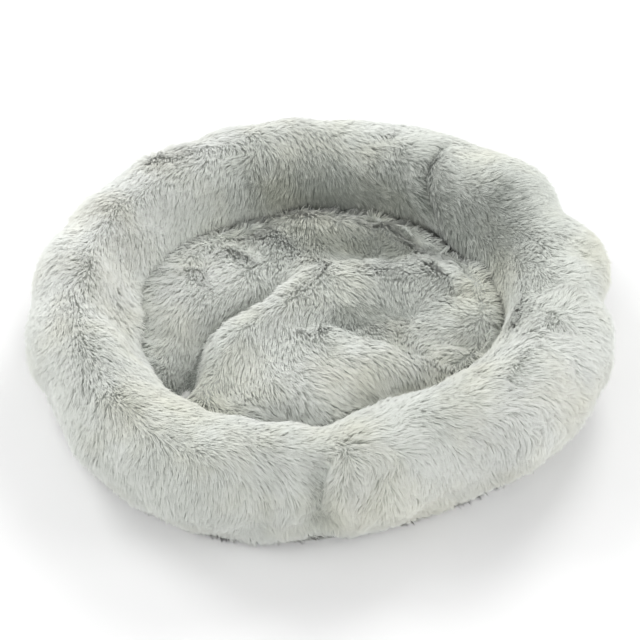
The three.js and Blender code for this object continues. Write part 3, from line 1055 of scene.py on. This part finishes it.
def base_pieces():
    """The liner, the wadding under it and the bottom panel, as (piece, node, slot)."""
    liner_low, liner_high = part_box("floor_liner")[0][2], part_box("floor_liner")[1][2]
    pad_low, pad_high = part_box("base_filling")[0][2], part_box("base_filling")[1][2]
    skirt = 8 * MM  # how far the liner's turned-down edge spreads
    cloth = 1.6 * MM
    edge = 9 * MM  # of the pad's rounded shoulder
    liner = [(share, skirt, liner_high) for share in FLAT_SHARES]
    liner += [(1, skirt, liner_high), (1, skirt - 1 * MM, liner_high - 0.6 * MM)]
    liner += [(1, 0, liner_low)]
    liner += [(1, cloth, liner_low), (1, skirt + cloth, liner_high - cloth)]
    liner += [(share, skirt + cloth, liner_high - cloth) for share in reversed(FLAT_SHARES)]
    pad = [(share, edge, pad_high) for share in FLAT_SHARES]
    pad += [(1, edge, pad_high), (1, 6 * MM, pad_high - 1.5 * MM)]
    pad += [(1, 0.5 * MM, pad_low + 2 * MM), (1, 0, pad_low)]
    pad += [(share, 1 * MM, pad_low) for share in reversed(FLAT_SHARES)]

    def dimpled(points):
        return 0.4 * MM * wander(points, 70 * MM, 72) * (points[:, 2] > liner_low + 6 * MM)

    yield disc("floor_cloth", outline_of("floor_liner"), liner, dimpled), "floor_liner", "base_cloth"
    yield disc("base_wadding", outline_of("base_filling"), pad, dimpled), "base_filling", "fibre_filling"
    yield cloth_disc("bottom_cloth", "bottom_panel", 0, tuck=5 * MM), "bottom_panel", "base_cloth"


# ------------ studio

CAMERA_ELEVATION = math.radians(47)
CAMERA_DISTANCE = 1.5
CAMERA_LENS = 98.2  # millimetres, on a 36 mm sensor
CAMERA_TARGET = Vector((0, 0, 0.0392))
FLOOR_HALF = 6
WORLD_STRENGTH = 0.45
LAMP_DISTANCE = 2.0
LAMP_WIDTH = 0.9
# Azimuth and elevation in degrees, and power in watts. Azimuth 0 is the bed's right and 90 its back.
LAMPS = [("right", 349, 25, 10), ("back", 65, 42, 15.5), ("back_left", 140, 40, 13.5)]
LAMPS += [("left", 190, 25, 8.5), ("front", 275, 37, 11)]


def aim(thing, target):
    thing.rotation_mode = "QUATERNION"
    thing.rotation_quaternion = (target - thing.location).to_track_quat("-Z", "Y")


def studio():
    scene = bpy.context.scene
    scene.view_settings.view_transform = "Standard"
    world = bpy.data.worlds.new("studio")
    scene.world = world
    world.use_nodes = True
    background = world.node_tree.nodes["Background"]
    background.inputs["Color"].default_value = (1, 1, 1, 1)
    background.inputs["Strength"].default_value = WORLD_STRENGTH

    corners = np.array([[-1, -1, 0], [1, -1, 0], [1, 1, 0], [-1, 1, 0]]) * FLOOR_HALF
    floor = mesh_object("floor", corners, np.array([[0, 1, 2, 3]]))
    pale = bpy.data.materials.new("pale_floor")
    shader_of(pale, (0.9, 0.9, 0.9), 0.9)
    floor.data.materials.append(pale)

    for name, azimuth, elevation, power in LAMPS:
        soft_lamp(name, math.radians(azimuth), math.radians(elevation), power)


def soft_lamp(name, azimuth, elevation, power):
    light = bpy.data.lights.new(name, "AREA")
    light.shape = "DISK"
    light.size = LAMP_WIDTH
    light.energy = power
    lamp = bpy.data.objects.new(name, light)
    bpy.context.scene.collection.objects.link(lamp)
    level = math.cos(elevation)
    way = Vector((math.cos(azimuth) * level, math.sin(azimuth) * level, math.sin(elevation)))
    lamp.location = CAMERA_TARGET + way * LAMP_DISTANCE
    aim(lamp, CAMERA_TARGET)


def camera():
    made = bpy.data.cameras.new("camera")
    made.lens = CAMERA_LENS
    made.sensor_width = 36
    holder = bpy.data.objects.new("camera", made)
    bpy.context.scene.collection.objects.link(holder)
    back = Vector((0, -math.cos(CAMERA_ELEVATION), math.sin(CAMERA_ELEVATION)))
    holder.location = CAMERA_TARGET + back * CAMERA_DISTANCE
    aim(holder, CAMERA_TARGET)
    bpy.context.scene.camera = holder


# ------------ all together

STUFFING_DEPTH = 3 * MM  # how far the wadding lies inside its skin
RIM_STRANDS = 270000
CUSHION_STRANDS = 95000
BAND_STRANDS = 50000


def finished(piece, body, slot, look, *replaced):
    """Gives a piece its material and its body, and hides the CAD nodes that it stands for. slot is not used.
    """
    piece.data.materials.clear()
    piece.data.materials.append(look)
    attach(piece, body)
    if replaced:
        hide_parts(*replaced)


camera()
studio()
plush = pile_material()
backing = knit_material("plush_backing", (0.6, 0.625, 0.58), (0.72, 0.745, 0.695), 900, 0.3 * MM)
woven = woven_material("woven_cloth", (0.34, 0.35, 0.325), (0.5, 0.51, 0.48), 1.1 * MM)
thread = knit_material("sewing_thread", (0.3, 0.315, 0.285), (0.5, 0.52, 0.475), 1500, 0.1 * MM)
wadding = knit_material("fibre_wadding", (0.78, 0.78, 0.75), (0.9, 0.9, 0.87), 300, 0.6 * MM)

rim = rim_skin()
finished(rim, "bed", "plush", backing, *RIM_NODES)
rim_pad = stuffing("rim_stuffing", rim, STUFFING_DEPTH)
finished(rim_pad, "bed", "fibre_filling", wadding, "rim_filling")
for piece in rim_pile(rim, RIM_STRANDS):
    finished(piece, "bed", "plush", plush)

cushion = cushion_skin()
finished(cushion, "cushion", "plush", backing, "cushion_top_panel")
cushion_pad = stuffing("cushion_stuffing", cushion, STUFFING_DEPTH)
finished(cushion_pad, "cushion", "fibre_filling", wadding, "cushion_filling")
for piece in cushion_pile(cushion, CUSHION_STRANDS):
    finished(piece, "cushion", "plush", plush)

band = cushion_band(cushion)
finished(band, "cushion", "plush", backing, "cushion_side_band")
for piece in band_pile(band, BAND_STRANDS):
    finished(piece, "cushion", "plush", plush)
bottom = cloth_disc("cushion_bottom", "cushion_underside", 0.3 * MM)
finished(bottom, "cushion", "base_cloth", woven, "cushion_underside")

for piece, node, slot in base_pieces():
    finished(piece, "bed", slot, wadding if slot == "fibre_filling" else woven, node)

for name in ("rim_front_seam", "rim_back_seam"):
    row = stitches(name + "_stitches", seam_path(name + "_stitching", rim), False)
    finished(row, "bed", "sewing_thread", thread, name + "_stitching")
for name, body, cloth in (
    ("outer_hem", "bed", rim),
    ("inner_hem", "bed", rim),
    ("cushion_lower_seam", "cushion", band),
    ("cushion_upper_seam", "cushion", band),
):
    row = stitches(name + "_stitches", laid_on(ring_path(name + "_stitching"), cloth), True)
    finished(row, body, "sewing_thread", thread, name + "_stitching")
